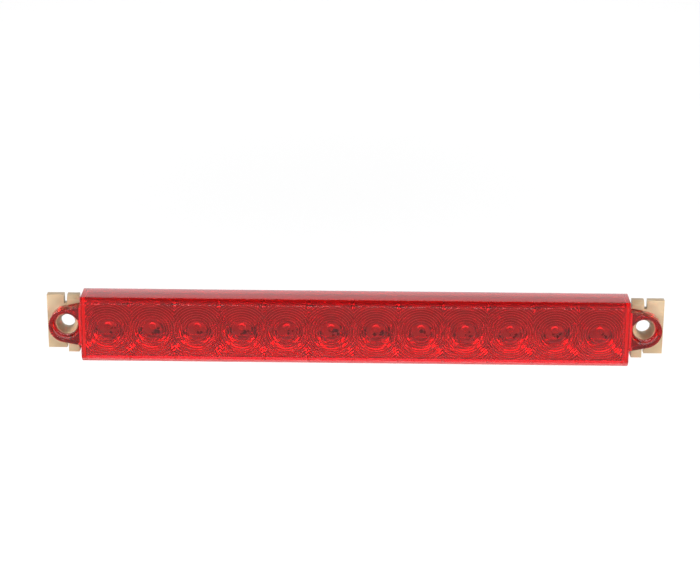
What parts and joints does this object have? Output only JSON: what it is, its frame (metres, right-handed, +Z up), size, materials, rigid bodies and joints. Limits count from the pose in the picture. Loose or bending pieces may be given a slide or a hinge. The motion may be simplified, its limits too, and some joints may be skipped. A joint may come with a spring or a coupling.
{
  "type": "third brake light",
  "caption": "Long, flat high-level brake light: a transparent red ribbed lens over a row of LEDs, with a screw ear and a nylon mounting foot at each end.",
  "frame": {"origin": "on the mounting plane (the backs of the feet), midway between the two screw holes", "axes": "+X along the lamp, +Z up, +Y towards the vehicle body the lamp is screwed to; the lens faces -Y"},
  "size_m": [0.278, 0.0159, 0.0302],
  "materials": {
    "lens_acrylic": "polished transparent red acrylic",
    "housing_plastic": "moulded light-coloured plastic",
    "seal_rubber": "matt natural silicone",
    "tray_plastic": "satin light-coloured reflector",
    "board_laminate": "white solder mask",
    "led_epoxy": "water-clear, faintly pink epoxy",
    "chip_ceramic": "matt black with tinned ends",
    "moulded_epoxy": "matt moulded",
    "tinned_brass": "tinned",
    "screw_steel": "zinc plated",
    "gland_rubber": "matt",
    "foot_nylon": "satin natural nylon"
  },
  "bodies": {
    "root": {"lens": "lens_acrylic", "rear_housing": "housing_plastic", "housing_seal": "seal_rubber", "reflector_tray": "tray_plastic", "circuit_board": "board_laminate", "led_01": "led_epoxy", "led_02": "led_epoxy", "led_03": "led_epoxy", "led_04": "led_epoxy", "led_05": "led_epoxy", "led_06": "led_epoxy", "led_07": "led_epoxy", "led_08": "led_epoxy", "led_09": "led_epoxy", "led_10": "led_epoxy", "led_11": "led_epoxy", "led_12": "led_epoxy", "resistor_1": "chip_ceramic", "resistor_2": "chip_ceramic", "resistor_3": "chip_ceramic", "resistor_4": "chip_ceramic", "reverse_diode": "moulded_epoxy", "surge_suppressor": "moulded_epoxy", "terminal_positive": "tinned_brass", "terminal_negative": "tinned_brass", "board_screws": "screw_steel", "cable_gland": "gland_rubber", "left_foot": "foot_nylon", "right_foot": "foot_nylon"}
  },
  "joints": []
}
